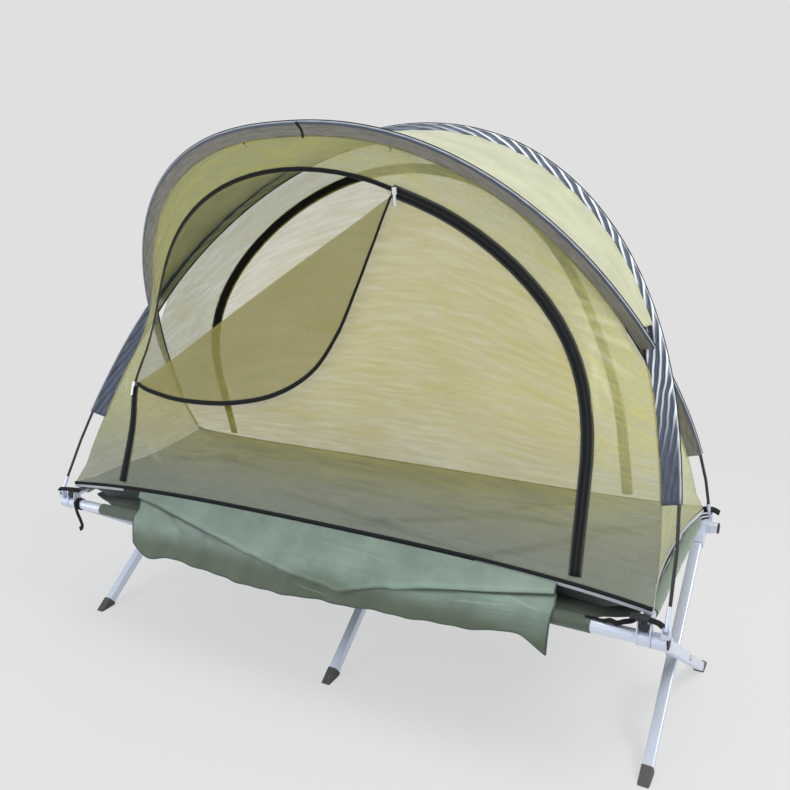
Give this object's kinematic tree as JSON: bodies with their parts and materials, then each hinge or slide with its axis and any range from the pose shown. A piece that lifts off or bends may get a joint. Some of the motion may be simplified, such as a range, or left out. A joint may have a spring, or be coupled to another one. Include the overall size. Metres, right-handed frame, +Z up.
{
  "type": "tent cot",
  "caption": "Folding tent cot: aluminium camp bed on crossed legs with a mosquito-net tent on crossing bent poles, its front door unzipped and folded down at one corner.",
  "frame": {"origin": "on the floor, under the middle of the whole tent cot", "axes": "+X along the bed towards its right end as the door side faces the viewer, +Y from the door side to the back, +Z up"},
  "size_m": [1.8542, 0.7198, 1.478],
  "materials": {
    "bare_aluminium": "satin",
    "steel_bolt": "satin",
    "black_plastic": "matt",
    "rubber_boot": "matt",
    "zinc": "semi-gloss",
    "black_pole": "semi-gloss",
    "zip_tape": "matt",
    "canvas": "matt",
    "apron_cloth": "matt",
    "net_fabric": "matt",
    "roof_fabric": "matt",
    "sleeve_fabric": "semi-gloss"
  },
  "bodies": {
    "front_frame": {"front_rail": "bare_aluminium", "front_rail_plug_left": "black_plastic", "front_rail_plug_right": "black_plastic", "leg_left": "bare_aluminium", "leg_middle": "bare_aluminium", "leg_right": "bare_aluminium", "leg_left_boot": "rubber_boot", "leg_middle_boot": "rubber_boot", "leg_right_boot": "rubber_boot", "pivot_bolt_left": "steel_bolt", "pivot_bolt_middle": "steel_bolt", "pivot_bolt_right": "steel_bolt", "front_bracket_left": "bare_aluminium", "front_bracket_right": "bare_aluminium", "bar_hinge_left": "black_plastic", "bar_hinge_right": "black_plastic", "middle_bracket": "bare_aluminium", "rail_sleeve_front": "canvas", "bed_canvas": "canvas", "tent_tub": "apron_cloth", "storm_apron": "apron_cloth"},
    "rear_frame": {"rear_rail": "bare_aluminium", "rear_rail_plug_left": "black_plastic", "rear_rail_plug_right": "black_plastic", "rear_leg_left": "bare_aluminium", "rear_leg_middle": "bare_aluminium", "rear_leg_right": "bare_aluminium", "rear_leg_left_boot": "rubber_boot", "rear_leg_middle_boot": "rubber_boot", "rear_leg_right_boot": "rubber_boot", "rear_bracket_left": "bare_aluminium", "rear_bracket_right": "bare_aluminium", "rear_middle_bracket": "bare_aluminium", "rail_sleeve_rear": "canvas"},
    "rear_hoop": {"rear_hoop_pole": "black_pole", "rear_hoop_sleeve": "sleeve_fabric", "rear_hoop_ferrule_left": "bare_aluminium", "rear_hoop_ferrule_right": "bare_aluminium", "front_wall": "net_fabric", "rear_wall": "net_fabric", "roof": "roof_fabric", "end_wall_left": "net_fabric", "end_wall_right": "net_fabric", "door_flap": "net_fabric", "front_zip": "zip_tape", "rear_zip": "zip_tape"},
    "front_hoop": {"front_hoop_pole": "black_pole", "front_hoop_sleeve": "sleeve_fabric", "front_hoop_ferrule_left": "bare_aluminium", "front_hoop_ferrule_right": "bare_aluminium"},
    "end_bar_left": {"end_bar_left": "bare_aluminium", "end_pocket_left": "canvas"},
    "end_bar_right": {"end_bar_right": "bare_aluminium", "end_pocket_right": "canvas", "buckle_body": "black_plastic"},
    "slider_low": {"slider_low": "zinc"},
    "slider_top": {"slider_top": "zinc"},
    "buckle_tongue": {"buckle_tongue": "black_plastic"}
  },
  "joints": [
    {"name": "frame_fold", "type": "hinge", "parent": "front_frame", "child": "rear_frame", "pos_m": [0, -0.021, 0.17876], "axis": [1, 0, 0], "range_deg": [0, 96], "deforming": ["bed_canvas", "tent_tub", "storm_apron", "roof", "front_wall", "rear_wall", "end_wall_left", "end_wall_right", "door_flap", "front_zip", "rear_zip"]},
    {"name": "rear_hoop_fold", "type": "hinge", "parent": "front_frame", "child": "rear_hoop", "pos_m": [0, -0.326, 0.43], "axis": [1, 0, 0], "range_deg": [0, 82.5]},
    {"name": "front_hoop_fold", "type": "hinge", "parent": "rear_frame", "child": "front_hoop", "pos_m": [0, 0.284, 0.43], "axis": [1, 0, 0], "range_deg": [-74, 0]},
    {"name": "end_bar_left_fold", "type": "hinge", "parent": "front_frame", "child": "end_bar_left", "pos_m": [-0.874, -0.324, 0.427], "axis": [1, 0, 0], "range_deg": [0, 86.5]},
    {"name": "end_bar_right_fold", "type": "hinge", "parent": "front_frame", "child": "end_bar_right", "pos_m": [0.874, -0.324, 0.427], "axis": [1, 0, 0], "range_deg": [0, 86.5]},
    {"name": "slider_low_travel", "type": "slide", "parent": "rear_hoop", "child": "slider_low", "axis": [0, -0.36, -0.933], "range_m": [0, 0.15]},
    {"name": "slider_top_travel", "type": "slide", "parent": "rear_hoop", "child": "slider_top", "axis": [0.8549, 0.149, -0.4969], "range_m": [0, 0.05]},
    {"name": "buckle_release", "type": "slide", "parent": "end_bar_right", "child": "buckle_tongue", "axis": [-1, 0, 0], "range_m": [0, 0.025]}
  ],
  "couplings": [
    {"joint": "rear_hoop_fold", "follows": "frame_fold", "ratio": 0.857},
    {"joint": "front_hoop_fold", "follows": "frame_fold", "ratio": -0.77},
    {"joint": "end_bar_left_fold", "follows": "frame_fold", "ratio": 0.9},
    {"joint": "end_bar_right_fold", "follows": "frame_fold", "ratio": 0.9}
  ]
}
